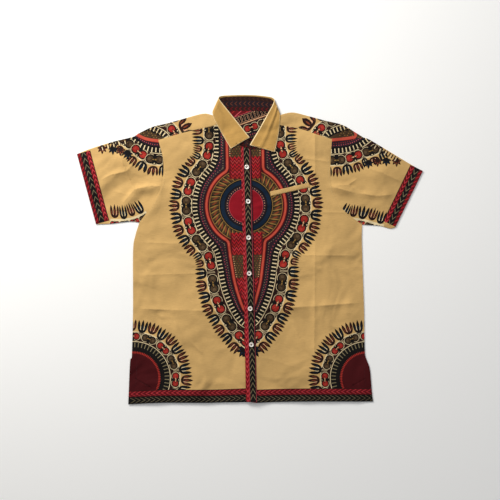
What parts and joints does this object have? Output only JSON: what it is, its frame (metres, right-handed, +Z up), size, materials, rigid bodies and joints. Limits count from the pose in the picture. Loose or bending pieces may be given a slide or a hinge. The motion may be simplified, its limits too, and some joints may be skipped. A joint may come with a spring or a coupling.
{
  "type": "dashiki shirt",
  "caption": "Short-sleeved button-front cotton dashiki shirt with a folded collar, yoke, chest pocket and side vents, laid flat on its back.",
  "frame": {"origin": "centre of the bounding box's base, on the surface that the shirt lies on", "axes": "+X towards the wearer's left sleeve, +Y towards the collar, +Z up from the surface through the front"},
  "size_m": [0.8715, 0.779, 0.0102],
  "materials": {
    "printed_cotton": "plain-woven cotton, golden cream with a wax-style print in crimson, orange, navy, brown and black",
    "border_cotton": "plain-woven cotton cut from the print's chevron border",
    "plain_cotton": "plain-woven cotton, golden cream",
    "pearl_button": "polished pearl white"
  },
  "bodies": {
    "root": {"back_panel": "printed_cotton", "back_yoke": "printed_cotton", "front_right": "printed_cotton", "front_left": "printed_cotton", "placket_band": "border_cotton", "sleeve_right": "printed_cotton", "sleeve_left": "printed_cotton", "collar_stand": "border_cotton", "collar_fall": "plain_cotton", "pocket_welt": "plain_cotton", "button_1": "pearl_button", "button_2": "pearl_button", "button_3": "pearl_button", "button_4": "pearl_button", "button_5": "pearl_button", "button_6": "pearl_button"}
  },
  "joints": []
}
